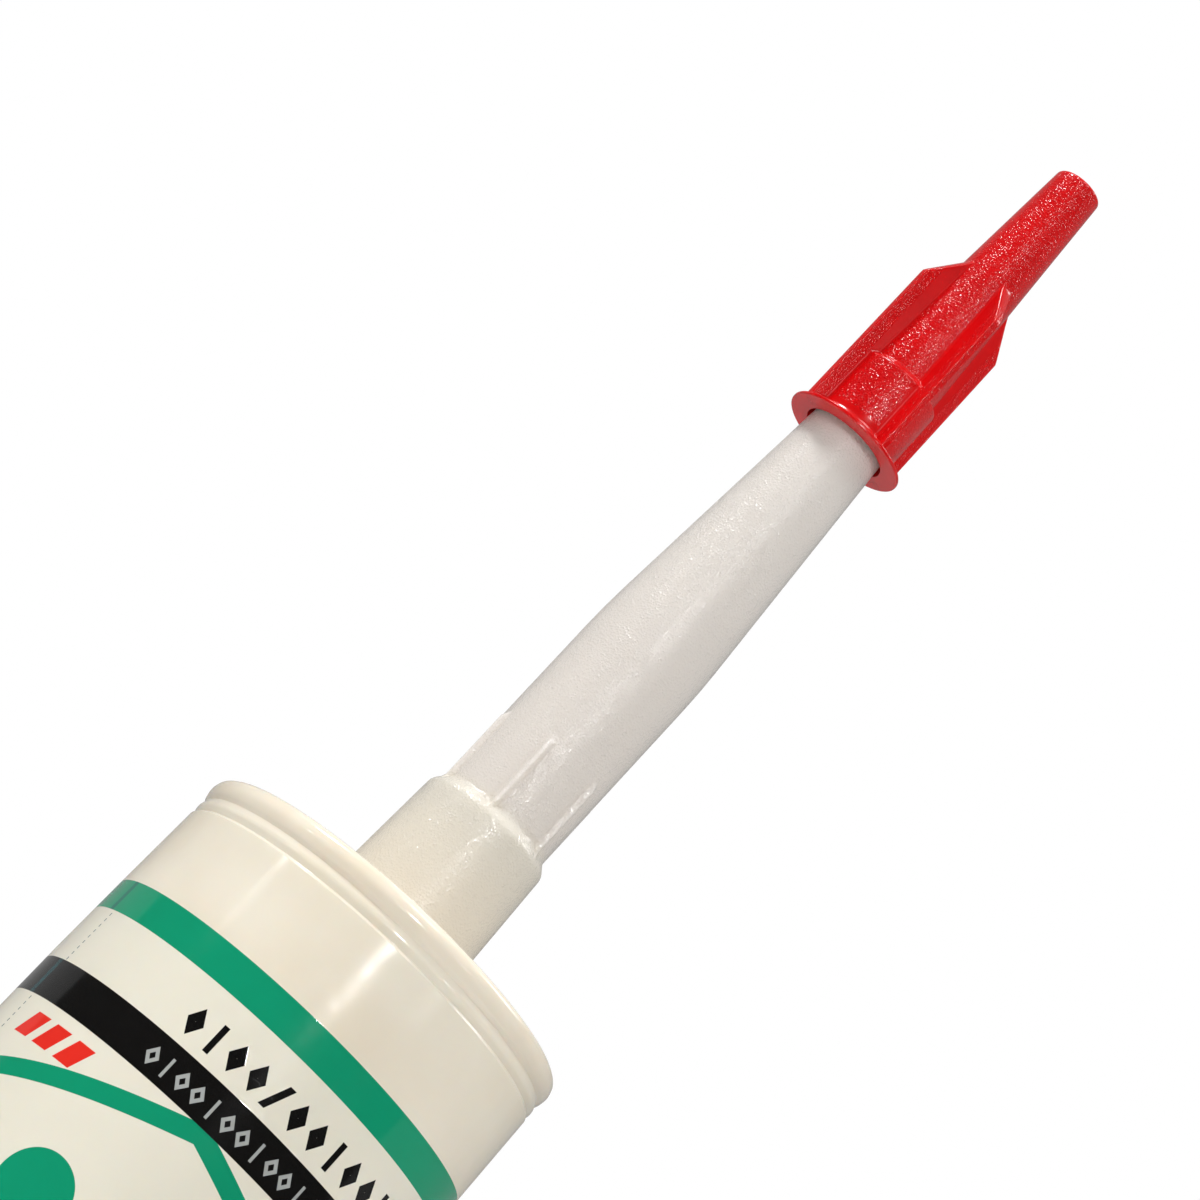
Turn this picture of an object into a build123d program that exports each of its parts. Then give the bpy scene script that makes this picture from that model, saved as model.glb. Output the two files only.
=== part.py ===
"""Sealant cartridge: barrel, push-in plunger, sealant fill, screw-on nozzle and push-on cap.

Units are millimetres. The cartridge stands upright on its open rear rim: the origin is the
centre of that rim, +Z runs along the axis towards the nozzle, and -Y is the printed front.
"""

import os
from math import atan, cos, hypot, sin, tan

from build123d import *

# Barrel
barrel_length = 216.0  # rear rim to the top of the head rim
barrel_radius = 25.0
barrel_wall = 1.7
lead_in_step = 0.4  # the gun's push plate enters a slightly wider bore
lead_in_depth = 12.0
lead_in_slope = 1.0
rear_edge_chamfer = 0.4
draw_in_length = 46.0  # the top stretch of the wall, which curves in slightly
neck_in = 0.58  # how far the wall has come in where the head's beads start
head_bead_length = 5.1  # the beaded stretch below the top of the head rim
groove_depth = 0.25
groove_step = 0.3  # length of the slope down into the first groove
bead_length = 1.75
bead_crown = 0.15  # bulge of the bead between the grooves
upper_groove_depth = 0.3
rim_crown_height = 3.5  # widest place of the rim's side, above the first groove
rim_crown = 0.08
rim_edge_length = 0.7
rim_edge_draft = 0.15
rim_edge_radius = 1.0
rim_land = 1.2  # flat top of the head rim
rim_height = 1.0  # rim above the shoulder's outer edge
head_wall = 2.2
head_inner_fillet = 1.5
shoulder_rise = 2.0  # from the shoulder's outer edge up to the nozzle's seat
seat_margin = 0.6  # flat ring outside the nozzle's skirt

# Threaded nipple
nipple_root_radius = 6.3
nipple_wall = 1.9
nipple_length = 14.0
nipple_end_wall = 1.2  # the uncut membrane
nipple_end_chamfer = 0.6
thread_height = 0.75
thread_pitch = 2.6
thread_width = 1.5
thread_tip_width = 0.6
thread_sink = 0.3  # how far the thread's root lies inside the nipple
thread_start = 1.6
thread_turns = 4.0

# Nozzle
skirt_clearance = 0.25  # thread crest to skirt bore
skirt_wall = 1.5
skirt_taper = 0.65  # how much slimmer the skirt is at its top
skirt_headroom = 0.5  # skirt bore above the nipple's end
skirt_step_length = 1.7  # the rounded step from skirt to throat
throat_step = 0.15  # throat's outside inside the skirt's bore radius
step_foot_width = 0.3  # small ledge at the foot of the throat
step_foot_length = 0.4
bore_step_length = 1.0
throat_length = 42.66  # from the seat to the corner with the cone, before it is rounded
throat_blend_radius = 85.0
nozzle_length = 115.4
tip_radius = 2.24
nozzle_wall = 1.15
tip_wall = 0.75
rib_count = 6
rib_turn = -10.0  # first rib, turned from the front
rib_height = 0.75
rib_width = 0.5
rib_root_width = 0.9
rib_length = 10.0
rib_run_out = 1.2

# Cap
cap_clearance = 0.15
cap_length = 42.45
cap_mouth_gap = 0.42
cap_mouth_depth = 3.2
sleeve_allowance = 0.78  # sleeve's outside beyond the nozzle's at the cap's mouth
sleeve_length = 9.2
sleeve_step = 0.7
sleeve_draft = 0.04
flange_width = 2.05
flange_edge = 0.45
flare_length = 3.3
flare_bend_width = 0.57  # middle of the flare's hollow curve, beyond the sleeve
flare_bend_height = 1.32
cap_cone_wall = 0.47
cap_tip_wall = 0.64
cap_end_gap = 0.7
cap_end_wall = 2.05
cap_edge_radius = 0.4
fin_count = 4
fin_turn = 28.5  # first fin, turned from the front
fin_height = 1.9  # above the sleeve
fin_draft = 0.1
fin_length = 20.7
fin_slope_length = 4.8
fin_root_width = 1.45
fin_edge_width = 0.95
fin_edge_fillet = 0.15

# Plunger
plunger_clearance = 0.2
plunger_length = 20.0
plunger_wall = 1.5
lip_width = 2.4
lip_depth = 0.7
crown_rise = 1.0
crown_wall = 1.6
crown_flat_radius = 12.0
web_count = 6
web_depth = 5.0
web_width = 1.2
hub_radius = 7.0
hub_wall = 1.4

# Sealant
fill_clearance = 0.3

# Levels and radii that follow
bore_radius = barrel_radius - barrel_wall
lead_in_radius = bore_radius + lead_in_step
shoulder_edge = barrel_length - rim_height
seat_height = shoulder_edge + shoulder_rise
head_inside = shoulder_edge - head_wall
nipple_top = seat_height + nipple_length
skirt_bore = nipple_root_radius + thread_height + skirt_clearance
skirt_radius = skirt_bore + skirt_wall
throat_radius = skirt_bore - throat_step
cone_slope = (throat_radius - tip_radius) / (nozzle_length - throat_length)
cap_end = nozzle_length + cap_end_gap + cap_end_wall
cap_start = cap_end - cap_length
seat_plane = Plane((0, 0, seat_height), (1, 0, 0), (0, -1, 0))


def nozzle_radius(height):
    """Outer radius of the nozzle's cone at a height above the seat."""
    return throat_radius - (height - throat_length) * cone_slope


def around(turn, count):
    """Places evenly round the axis, the first turned from the front (-Y) towards +X."""
    return PolarLocations(0, count, start_angle=turn - 90)


def away(edge):
    """Distance of an edge's middle from the axis."""
    middle = edge.center()
    return hypot(middle.X, middle.Y)


# --- barrel: one moulding with beaded head rim, shoulder and closed threaded nipple ----------
draw_in_start = barrel_length - draw_in_length
bead_start = barrel_length - head_bead_length
bead_end = bead_start + groove_step + bead_length
bead_radius = barrel_radius - neck_in
groove_radius = bead_radius - groove_depth
rim_radius = bead_radius - rim_edge_radius
nipple_bore_radius = nipple_root_radius - nipple_wall

with BuildPart() as barrel:
    with BuildSketch(Plane.XZ):
        with BuildLine():
            Polyline(
                (lead_in_radius, 0),
                (barrel_radius - rear_edge_chamfer, 0),
                (barrel_radius, rear_edge_chamfer),
                (barrel_radius, draw_in_start),
            )
            wall = TangentArc(
                (barrel_radius, draw_in_start), (bead_radius, bead_start), tangent=(0, 1)
            )
            groove = Line(wall @ 1, (groove_radius, bead_start + groove_step))
            bead = ThreePointArc(
                groove @ 1,
                (groove_radius + bead_crown, bead_end - bead_length / 2),
                (bead_radius - upper_groove_depth, bead_end),
            )
            rim_side = ThreePointArc(
                bead @ 1,
                (bead_radius + rim_crown, bead_start + rim_crown_height),
                (bead_radius - rim_edge_draft, barrel_length - rim_edge_length),
            )
            rim_edge = TangentArc(rim_side @ 1, (rim_radius, barrel_length), tangent=rim_side % 1)
            Polyline(
                rim_edge @ 1,
                (rim_radius - rim_land, barrel_length),
                (rim_radius - rim_land - rim_height / 2, shoulder_edge),
                (skirt_radius + seat_margin, seat_height),
                (nipple_root_radius, seat_height),
                (nipple_root_radius, nipple_top - nipple_end_chamfer),
                (nipple_root_radius - nipple_end_chamfer, nipple_top),
                (0, nipple_top),
                (0, nipple_top - nipple_end_wall),
                (nipple_bore_radius, nipple_top - nipple_end_wall),
                (nipple_bore_radius, head_inside),
                (bore_radius - head_inner_fillet, head_inside),
            )
            corner = TangentArc(
                (bore_radius - head_inner_fillet, head_inside),
                (bore_radius, head_inside - head_inner_fillet),
                tangent=(1, 0),
            )
            Polyline(
                corner @ 1,
                (bore_radius, lead_in_depth + lead_in_slope),
                (lead_in_radius, lead_in_depth),
                (lead_in_radius, 0),
            )
        make_face()
    revolve(axis=Axis.Z)

    thread_foot = seat_height + thread_start
    with BuildLine():
        Helix(
            pitch=thread_pitch,
            height=thread_pitch * thread_turns,
            radius=nipple_root_radius,
            center=(0, 0, thread_foot),
        )
    with BuildSketch(Plane((nipple_root_radius, 0, thread_foot), (1, 0, 0), (0, -1, 0))):
        with BuildLine():
            Polyline(
                (-thread_sink, -thread_width / 2),
                (-thread_sink, thread_width / 2),
                (thread_height, thread_tip_width / 2),
                (thread_height, -thread_tip_width / 2),
                close=True,
            )
        make_face()
    sweep(is_frenet=True)

# --- nozzle ribs: thin splines above the skirt, sloped off at their upper end -----------------
skirt_top = nipple_length + skirt_headroom
throat_start = skirt_top + skirt_step_length
rib_foot = seat_height + skirt_top
rib_radius = throat_radius + rib_height
rib_root_radius = throat_radius - nozzle_wall / 2

with BuildPart() as ribs:
    with BuildSketch(Plane.XY.offset(rib_foot)):
        with around(rib_turn, rib_count):
            Polygon(
                (rib_root_radius, -rib_root_width / 2),
                (rib_radius, -rib_width / 2),
                (rib_radius, rib_width / 2),
                (rib_root_radius, rib_root_width / 2),
                align=None,
            )
    extrude(amount=rib_length + rib_run_out)
    with BuildSketch(Plane.XZ):
        with BuildLine():
            Polyline(
                (0, rib_foot),
                (rib_radius, rib_foot),
                (rib_radius, rib_foot + rib_length),
                (rib_root_radius, rib_foot + rib_length + rib_run_out),
                (0, rib_foot + rib_length + rib_run_out),
                close=True,
            )
        make_face()
    revolve(axis=Axis.Z, mode=Mode.INTERSECT)

# --- nozzle: skirt that screws on the nipple, ribbed throat, long cone ------------------------
skirt_shrink = skirt_taper / throat_start
cone_angle = atan(cone_slope)
blend_start = throat_length - throat_blend_radius * tan(cone_angle / 2)
blend_end = blend_start + throat_blend_radius * sin(cone_angle)
blend_drop = throat_blend_radius * (1 - cos(cone_angle))

with BuildPart() as nozzle:
    with BuildSketch(seat_plane):
        with BuildLine():
            skirt = Line((skirt_radius, 0), (skirt_radius - skirt_shrink * skirt_top, skirt_top))
            skirt_edge = TangentArc(
                skirt @ 1,
                (throat_radius + step_foot_width, throat_start - step_foot_length),
                tangent=skirt % 1,
            )
            throat = Polyline(
                skirt_edge @ 1,
                (throat_radius, throat_start),
                (throat_radius, blend_start),
            )
            blend = TangentArc(
                throat @ 1,
                (throat_radius - blend_drop, blend_end),
                tangent=(0, 1),
            )
            Polyline(
                blend @ 1,
                (tip_radius, nozzle_length),
                (tip_radius - tip_wall, nozzle_length),
                (throat_radius - nozzle_wall, throat_length),
                (throat_radius - nozzle_wall, skirt_top + bore_step_length),
                (skirt_bore, skirt_top),
                (skirt_bore, 0),
                (skirt_radius, 0),
            )
        make_face()
    revolve(axis=Axis.Z)
    add(ribs.part)

# --- cap fins: straight vanes whose tops slope down to the cone -------------------------------
mouth_radius = nozzle_radius(cap_start) + cap_mouth_gap
sleeve_radius = nozzle_radius(cap_start) + sleeve_allowance
sleeve_end = cap_start + sleeve_length
cap_cone_start = sleeve_end + sleeve_step
cap_cone_radius = nozzle_radius(cap_cone_start) + cap_clearance + cap_cone_wall
cap_tip_radius = tip_radius + cap_clearance + cap_tip_wall
cap_inner_end = nozzle_length + cap_end_gap
fin_radius = sleeve_radius + fin_height
fin_root_radius = nozzle_radius(cap_cone_start) + cap_clearance + cap_cone_wall / 2
fin_foot = cap_start + flange_edge / 2
fin_top = cap_start + fin_length + fin_slope_length

with BuildPart() as fins:
    with BuildSketch(Plane.XY.offset(seat_height + fin_foot)):
        with around(fin_turn, fin_count):
            Polygon(
                (fin_root_radius, -fin_root_width / 2),
                (fin_radius, -fin_edge_width / 2),
                (fin_radius, fin_edge_width / 2),
                (fin_root_radius, fin_root_width / 2),
                align=None,
            )
    extrude(amount=fin_top - fin_foot)
    with BuildSketch(seat_plane):
        with BuildLine():
            Polyline(
                (0, fin_foot),
                (fin_radius, fin_foot),
                (fin_radius - fin_draft, cap_start + fin_length),
                (fin_root_radius - fin_draft, fin_top),
                (0, fin_top),
                close=True,
            )
        make_face()
    revolve(axis=Axis.Z, mode=Mode.INTERSECT)
    long_edges = edges().filter_by(lambda edge: edge.length > sleeve_length)
    fillet(long_edges.filter_by(lambda edge: away(edge) > sleeve_radius), fin_edge_fillet)

# --- cap: flared flange, sleeve, cone and fins in one moulding --------------------------------
with BuildPart() as nozzle_cap:
    with BuildSketch(seat_plane):
        with BuildLine():
            flange_radius = sleeve_radius + flange_width
            Line((flange_radius, cap_start), (flange_radius, cap_start + flange_edge))
            flare = ThreePointArc(
                (flange_radius, cap_start + flange_edge),
                (sleeve_radius + flare_bend_width, cap_start + flare_bend_height),
                (sleeve_radius, cap_start + flare_length),
            )
            Polyline(
                flare @ 1,
                (sleeve_radius - sleeve_draft, sleeve_end),
                (cap_cone_radius, cap_cone_start),
                (cap_tip_radius, cap_end),
                (0, cap_end),
                (0, cap_start),
                (flange_radius, cap_start),
            )
        make_face()
    revolve(axis=Axis.Z)
    tip_edge = edges().filter_by(GeomType.CIRCLE).sort_by(Axis.Z)[-1]
    fillet(tip_edge, cap_edge_radius)
    add(fins.part)
    with BuildSketch(seat_plane):
        with BuildLine():
            Polyline(
                (0, cap_start),
                (mouth_radius, cap_start),
                (
                    nozzle_radius(cap_start + cap_mouth_depth) + cap_clearance,
                    cap_start + cap_mouth_depth,
                ),
                (nozzle_radius(cap_inner_end) + cap_clearance, cap_inner_end),
                (0, cap_inner_end),
                close=True,
            )
        make_face()
    revolve(axis=Axis.Z, mode=Mode.SUBTRACT)

# --- plunger: cup with two sealing lips, webs and a hub behind its crown ----------------------
lip_radius = bore_radius - plunger_clearance
waist_radius = lip_radius - lip_depth
cup_radius = waist_radius - plunger_wall
plunger_rear = lead_in_depth + lead_in_slope
plunger_top = plunger_rear + plunger_length
crown_edge = plunger_top - crown_rise
crown_inside = crown_edge - crown_wall

with BuildPart() as plunger:
    with BuildSketch(Plane.XZ):
        with BuildLine():
            Polyline(
                (0, plunger_top),
                (crown_flat_radius, plunger_top),
                (waist_radius, crown_edge),
                (lip_radius, crown_edge - lip_depth),
                (lip_radius, crown_edge - lip_width),
                (waist_radius, crown_edge - lip_width - lip_depth),
                (waist_radius, plunger_rear + lip_width + lip_depth),
                (lip_radius, plunger_rear + lip_width),
                (lip_radius, plunger_rear + lip_depth),
                (waist_radius, plunger_rear),
                (cup_radius, plunger_rear),
                (cup_radius, crown_inside - crown_wall),
                (cup_radius - crown_wall, crown_inside),
                (crown_flat_radius, plunger_top - crown_wall),
                (0, plunger_top - crown_wall),
                close=True,
            )
        make_face()
    revolve(axis=Axis.Z)
    with BuildSketch(Plane.XY.offset(crown_inside - web_depth)):
        Circle(hub_radius)
        Circle(hub_radius - hub_wall, mode=Mode.SUBTRACT)
        with PolarLocations(0, web_count):
            with Locations(((hub_radius + cup_radius) / 2, 0)):
                Rectangle(cup_radius - hub_radius + plunger_wall, web_width)
    extrude(until=Until.NEXT)

# --- sealant: the fill between plunger and head ------------------------------------------------
with BuildPart() as sealant:
    with BuildSketch(Plane.XY.offset(plunger_top + fill_clearance)):
        Circle(bore_radius - fill_clearance)
    extrude(amount=head_inside - plunger_top - 2 * fill_clearance)
    fillet(edges().sort_by(Axis.Z)[-1], head_inner_fillet)

# --- export -----------------------------------------------------------------------------------
os.makedirs("parts", exist_ok=True)

barrel.part.label = "barrel"
export_step(barrel.part, "parts/barrel.step")
nozzle.part.label = "nozzle"
export_step(nozzle.part, "parts/nozzle.step")
nozzle_cap.part.label = "nozzle_cap"
export_step(nozzle_cap.part, "parts/nozzle_cap.step")
plunger.part.label = "plunger"
export_step(plunger.part, "parts/plunger.step")
sealant.part.label = "sealant"
export_step(sealant.part, "parts/sealant.step")
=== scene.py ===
"""Looks of a sealant cartridge: printed barrel, plunger, fill, screwed-on nozzle and finned cap.

Lengths are millimetres and angles degrees unless a name says otherwise; meshes are written in
metres. Heights start at the barrel's rear rim, and angles run from the printed front (-Y)
towards +X.
"""

import logging
import math
from collections.abc import Callable, Iterable, Sequence
from dataclasses import dataclass
from enum import Enum
from functools import partial, reduce

import bmesh
import bpy
from mathutils import Matrix, Vector


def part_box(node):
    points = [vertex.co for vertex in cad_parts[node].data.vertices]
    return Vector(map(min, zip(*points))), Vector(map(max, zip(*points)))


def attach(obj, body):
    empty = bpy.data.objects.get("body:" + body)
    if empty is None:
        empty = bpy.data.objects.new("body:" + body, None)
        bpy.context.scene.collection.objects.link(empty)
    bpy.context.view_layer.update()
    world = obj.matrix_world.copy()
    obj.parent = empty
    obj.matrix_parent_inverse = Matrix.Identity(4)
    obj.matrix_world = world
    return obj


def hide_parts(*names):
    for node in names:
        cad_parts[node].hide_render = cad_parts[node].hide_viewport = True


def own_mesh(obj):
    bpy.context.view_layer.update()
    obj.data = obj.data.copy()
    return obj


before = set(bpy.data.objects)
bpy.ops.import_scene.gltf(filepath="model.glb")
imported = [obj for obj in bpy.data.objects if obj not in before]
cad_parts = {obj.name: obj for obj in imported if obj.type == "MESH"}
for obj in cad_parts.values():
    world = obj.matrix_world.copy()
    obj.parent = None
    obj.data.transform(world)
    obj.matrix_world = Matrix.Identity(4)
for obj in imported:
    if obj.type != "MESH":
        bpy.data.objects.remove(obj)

log = logging.getLogger("cartridge")

MM = 0.001
VALUE_SOCKET = "NodeSocketFloat"
THREAD_ROW = 0.16  # distance between two rows of points on a thread
FAR = 100  # periods added before a modulo, so that it only sees positive numbers
Point = tuple[float, float]
Ring = list[tuple[float, float, float]]
Value = bpy.types.NodeSocket | float | tuple[float, ...]


# --- outlines and meshes ----------------------------------------------------------------------


@dataclass(frozen=True)
class Corner:
    """A corner of a turned outline.

    Args:
        radius: distance from the axis.
        height: height of the corner.
        rounding: radius of the arc that rounds it.
        rows: longest step between rows on the run that leads to it.
    """

    radius: float
    height: float
    rounding: float = 0.0
    rows: float = 6.0


def outline(corners: Sequence[Corner], arc_step: float = 12.0) -> list[Point]:
    """Walks round a closed outline, rounding its corners and dividing its runs.

    Args:
        corners: the corners in order; a corner on the axis stays sharp.
        arc_step: largest turn between two points of a rounded corner.

    Returns:
        The points as (radius, height).
    """
    stops: list[tuple[list[Vector], float]] = []
    for index, corner in enumerate(corners):
        here = Vector((corner.radius, corner.height))
        before, after = (
            Vector((other.radius, other.height)) - here
            for other in (corners[index - 1], corners[(index + 1) % len(corners)])
        )
        stops.append((rounded(here, before, after, corner.rounding, arc_step), corner.rows))
    points: list[Point] = []
    for index, (arc, rows) in enumerate(stops):
        start = stops[index - 1][0][-1]
        steps = max(1, math.ceil((arc[0] - start).length / rows))
        points += [tuple(start.lerp(arc[0], step / steps)) for step in range(1, steps)]
        points += [tuple(point) for point in arc]
    return points


def rounded(here: Vector, before: Vector, after: Vector, radius: float, step: float) -> list[Vector]:
    """Points of the arc that rounds one corner.

    Args:
        here: the corner.
        before: way to the previous corner.
        after: way to the next corner.
        radius: wanted radius, which the two runs may limit.
        step: largest turn between two points.

    Returns:
        The arc's points, or the corner alone where it isn't rounded.
    """
    turn = math.pi - before.angle(after)
    if radius <= 0 or turn < 1e-4:
        return [here]
    reach = min(radius * math.tan(turn / 2), 0.5 * before.length, 0.5 * after.length)
    radius = reach / math.tan(turn / 2)
    inward = (before.normalized() + after.normalized()).normalized()
    centre = here + inward * math.hypot(radius, reach)
    first = here + before.normalized() * reach - centre
    side = 1 if before.x * after.y - before.y * after.x > 0 else -1
    count = max(2, math.ceil(math.degrees(turn) / step))
    return [
        centre + Matrix.Rotation(-side * turn * index / count, 2) @ first
        for index in range(count + 1)
    ]


def turned_ring(radius: float, height: float, angles: Sequence[float], shape: Callable) -> Ring:
    """One ring of a turned surface.

    Args:
        radius: plain radius.
        height: plain height.
        angles: the ring's angles.
        shape: gives the true radius from radius, height and angle.

    Returns:
        The ring's points.
    """
    ring: Ring = []
    for angle in angles:
        true = shape(radius, height, angle)
        turn = math.radians(angle)
        ring.append((true * math.sin(turn), -true * math.cos(turn), height))
    return ring


def plain_round(radius: float, _height: float, _angle: float) -> float:
    """The radius as it is."""
    return radius


def even_angles(count: int) -> list[float]:
    """Evenly spaced angles once round the axis."""
    return [360 * index / count - 180 for index in range(count)]


def skin(name: str, rings: Sequence[Ring]) -> bpy.types.Object:
    """Makes a closed shell from rings whose last one meets the first.

    Args:
        name: the piece's name.
        rings: rings with equally many points; a ring on the axis closes to one point.

    Returns:
        The new piece, smooth-shaded, with its normals weighted by area.
    """
    rows, columns = len(rings), len(rings[0])
    vertices = [tuple(value * MM for value in point) for ring in rings for point in ring]
    faces = [
        (
            row * columns + column,
            row * columns + (column + 1) % columns,
            (row + 1) % rows * columns + (column + 1) % columns,
            (row + 1) % rows * columns + column,
        )
        for row in range(rows)
        for column in range(columns)
    ]
    mesh = bpy.data.meshes.new(name)
    mesh.from_pydata(vertices, [], faces)
    shell = bmesh.new()
    shell.from_mesh(mesh)
    bmesh.ops.remove_doubles(shell, verts=shell.verts, dist=0.0005 * MM)
    bmesh.ops.recalc_face_normals(shell, faces=shell.faces)
    shell.to_mesh(mesh)
    shell.free()
    mesh.shade_smooth()
    piece = bpy.data.objects.new(name, mesh)
    bpy.context.scene.collection.objects.link(piece)
    piece.modifiers.new("even_shading", "WEIGHTED_NORMAL").keep_sharp = True
    return piece


def smooth_step(value: float, low: float, high: float) -> float:
    """0 below low, 1 above high and an S-curve between."""
    share = min(1.0, max(0.0, (value - low) / (high - low)))
    return share * share * (3 - 2 * share)


@dataclass(frozen=True)
class Thread:
    """A helical ridge on a turned surface.

    Args:
        foot: height of its first turn.
        turns: number of turns.
        pitch: rise of one turn.
        width: width of the ridge at its root.
        tip: width of the ridge at its crest.
        depth: height of the ridge, negative where it stands inwards.
        run_out: share of a turn over which it fades in and out.
    """

    foot: float
    turns: float
    pitch: float
    width: float
    tip: float
    depth: float
    run_out: float = 0.12

    def lift(self, height: float, angle: float) -> float:
        """How far the surface stands out at a height and an angle.

        Args:
            height: height of the point.
            angle: angle of the point.

        Returns:
            The radial distance to add.
        """
        along = (height - self.foot) / self.pitch
        turn = round(along - angle / 360)
        place = turn + angle / 360
        if not 0 <= place <= self.turns:
            return 0.0
        off = abs(along - place) * self.pitch
        ridge = 1 - smooth_step(off, self.tip / 2, self.width / 2)
        ends = smooth_step(place, 0, self.run_out) * smooth_step(
            self.turns - place, 0, self.run_out
        )
        return self.depth * ridge * ends


# --- node helpers and shared effects ------------------------------------------------------------


class Graph:
    """Adds and joins the nodes of one tree."""

    def __init__(self, tree: bpy.types.NodeTree) -> None:
        """Keeps the tree that nodes are added to."""
        self.tree = tree

    def add(self, kind: str, inputs: dict | None = None, **settings: object) -> bpy.types.Node:
        """Adds a node.

        Args:
            kind: the node's type.
            inputs: values or sockets for its inputs, by name or index.
            settings: its properties.

        Returns:
            The node.
        """
        node = self.tree.nodes.new(kind)
        for name, value in settings.items():
            setattr(node, name, value)
        for name, value in (inputs or {}).items():
            self.feed(node.inputs[name], value)
        return node

    def feed(self, socket: bpy.types.NodeSocket, value: Value) -> None:
        """Joins a socket to an input, or sets its value."""
        if isinstance(value, bpy.types.NodeSocket):
            self.tree.links.new(value, socket)
        else:
            socket.default_value = value

    def math(self, operation: str, a: Value, b: Value = 0.0, c: Value = 0.0) -> bpy.types.NodeSocket:
        """The result of a Math node."""
        return self.add("ShaderNodeMath", {0: a, 1: b, 2: c}, operation=operation).outputs[0]

    def ramp(
        self, value: Value, low: Value, high: Value, start: Value = 0.0, end: Value = 1.0
    ) -> bpy.types.NodeSocket:
        """Maps low..high to start..end on an S-curve and holds it outside."""
        node = self.add(
            "ShaderNodeMapRange",
            {"Value": value, "From Min": low, "From Max": high, "To Min": start, "To Max": end},
            interpolation_type="SMOOTHSTEP",
        )
        return node.outputs["Result"]

    def product(self, *values: Value) -> bpy.types.NodeSocket:
        """The product of two or more values, such as masks that all have to hold."""
        return reduce(lambda a, b: self.math("MULTIPLY", a, b), values)

    def largest(self, *values: Value) -> bpy.types.NodeSocket:
        """The largest of two or more values, such as masks of which one has to hold."""
        return reduce(lambda a, b: self.math("MAXIMUM", a, b), values)

    def apart(self, a: Value, b: Value) -> bpy.types.NodeSocket:
        """How far two values lie apart."""
        return self.math("ABSOLUTE", self.math("SUBTRACT", a, b))

    def length(self, a: Value, b: Value) -> bpy.types.NodeSocket:
        """The length of a flat vector."""
        squares = self.math("ADD", self.math("MULTIPLY", a, a), self.math("MULTIPLY", b, b))
        return self.math("SQRT", squares)

    def mix(self, share: Value, a: Value, b: Value) -> bpy.types.NodeSocket:
        """Mixes two colours."""
        node = self.add("ShaderNodeMix", data_type="RGBA")
        self.feed(node.inputs[0], share)
        self.feed(node.inputs[6], a)
        self.feed(node.inputs[7], b)
        return node.outputs[2]

    def use(self, group: bpy.types.NodeTree, inputs: dict | None = None) -> bpy.types.Node:
        """Places a shared effect."""
        node = self.add("ShaderNodeGroup", node_tree=group)
        for name, value in (inputs or {}).items():
            self.feed(node.inputs[name], value)
        return node


class Side(Enum):
    """Sides of a shared effect that a socket can be on."""

    INPUT = "INPUT"
    OUTPUT = "OUTPUT"


def shared_group(
    name: str, inputs: dict[str, float], outputs: Iterable[str]
) -> tuple[Graph, dict[str, bpy.types.NodeSocket], bpy.types.Node]:
    """Starts a shader node group with value sockets.

    Args:
        name: the group's name.
        inputs: its inputs with their usual values.
        outputs: names of its outputs.

    Returns:
        The group's graph, its inputs by name, and its output node.
    """
    tree = bpy.data.node_groups.new(name, "ShaderNodeTree")
    for label in inputs:
        socket = tree.interface.new_socket(label, in_out=Side.INPUT.value, socket_type=VALUE_SOCKET)
        socket.default_value = inputs[label]
    for label in outputs:
        tree.interface.new_socket(label, in_out=Side.OUTPUT.value, socket_type=VALUE_SOCKET)
    graph = Graph(tree)
    entry = graph.add("NodeGroupInput")
    return graph, {label: entry.outputs[label] for label in inputs}, graph.add("NodeGroupOutput")


@dataclass(frozen=True)
class Effects:
    """The shader node groups that more than one finish uses.

    Args:
        place: height, angle, radius and x of a point.
        band: 1 where a value lies between two limits.
        spark: fine pitted grain of a spark-eroded mould.
        peel: faint waviness of moulded plastic.
        specks: scattered small dots.
        scuffs: fine scratches.
        cloud: soft wide unevenness.
    """

    place: bpy.types.NodeTree
    band: bpy.types.NodeTree
    spark: bpy.types.NodeTree
    peel: bpy.types.NodeTree
    specks: bpy.types.NodeTree
    scuffs: bpy.types.NodeTree
    cloud: bpy.types.NodeTree

    def within(
        self, graph: Graph, value: Value, limits: Point, edge: float = 0.07
    ) -> bpy.types.NodeSocket:
        """The mask of the points whose value lies between two limits.

        Args:
            graph: the material's graph.
            value: the value.
            limits: low and high limit.
            edge: width of the mask's soft edges.

        Returns:
            The mask.
        """
        inputs = {"Value": value, "Low": limits[0], "High": limits[1], "Edge": edge}
        return graph.use(self.band, inputs).outputs["Mask"]


def object_point(graph: Graph, scale: Value) -> bpy.types.NodeSocket:
    """The point in the part's own frame, scaled.

    Args:
        graph: the tree to add to.
        scale: factor on the coordinates, which are in metres.

    Returns:
        The scaled point.
    """
    place = graph.add("ShaderNodeTexCoord").outputs["Object"]
    node = graph.add("ShaderNodeVectorMath", {0: place}, operation="SCALE")
    graph.feed(node.inputs["Scale"], scale)
    return node.outputs[0]


def make_place() -> bpy.types.NodeTree:
    """Builds the group that says where a point lies round the axis."""
    graph, _, out = shared_group("place_round_axis", {}, ("Height", "Angle", "Radius", "Across"))
    parts = graph.add("ShaderNodeSeparateXYZ", {0: object_point(graph, 1 / MM)})
    x, y, z = parts.outputs
    front = graph.math("MULTIPLY", y, -1.0)
    graph.feed(out.inputs["Height"], z)
    graph.feed(out.inputs["Angle"], graph.math("DEGREES", graph.math("ARCTAN2", x, front)))
    graph.feed(out.inputs["Radius"], graph.length(x, y))
    graph.feed(out.inputs["Across"], x)
    return graph.tree


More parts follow.
